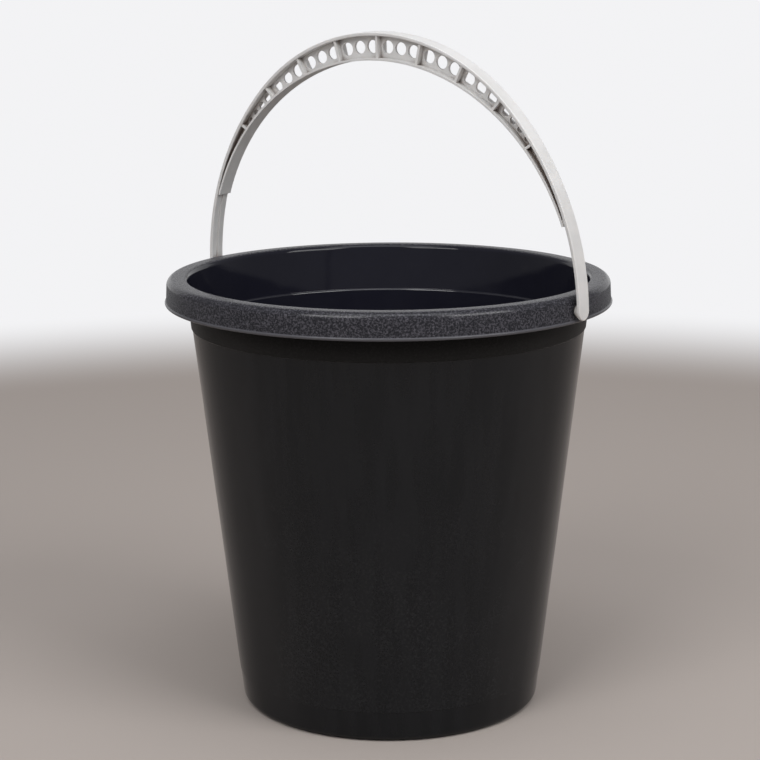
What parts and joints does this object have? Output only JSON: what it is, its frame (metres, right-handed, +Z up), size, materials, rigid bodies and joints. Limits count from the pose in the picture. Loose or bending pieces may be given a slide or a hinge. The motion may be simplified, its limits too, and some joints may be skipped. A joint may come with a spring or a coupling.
{
  "type": "florist bucket",
  "caption": "Round tapered plastic bucket for cut flowers, with a turned-down rim and a ribbed bail handle that swings on pegs under the rim.",
  "frame": {"origin": "centre of the base at floor level", "axes": "+Z up through the middle of the mouth; X is the line the handle turns on; -Y is the side the handle leans towards at rest"},
  "size_m": [0.294, 0.286, 0.4339],
  "materials": {
    "tub_plastic": "satin near-black, finely textured on the rim and collar",
    "handle_plastic": "satin light grey"
  },
  "bodies": {
    "tub": {"tub": "tub_plastic"},
    "handle": {"handle": "handle_plastic"}
  },
  "joints": [
    {"name": "handle_swing", "type": "hinge", "parent": "tub", "child": "handle", "pos_m": [0, 0, 0.2706], "axis": [1, 0, 0], "range_deg": [-125.5, 120.5]}
  ]
}
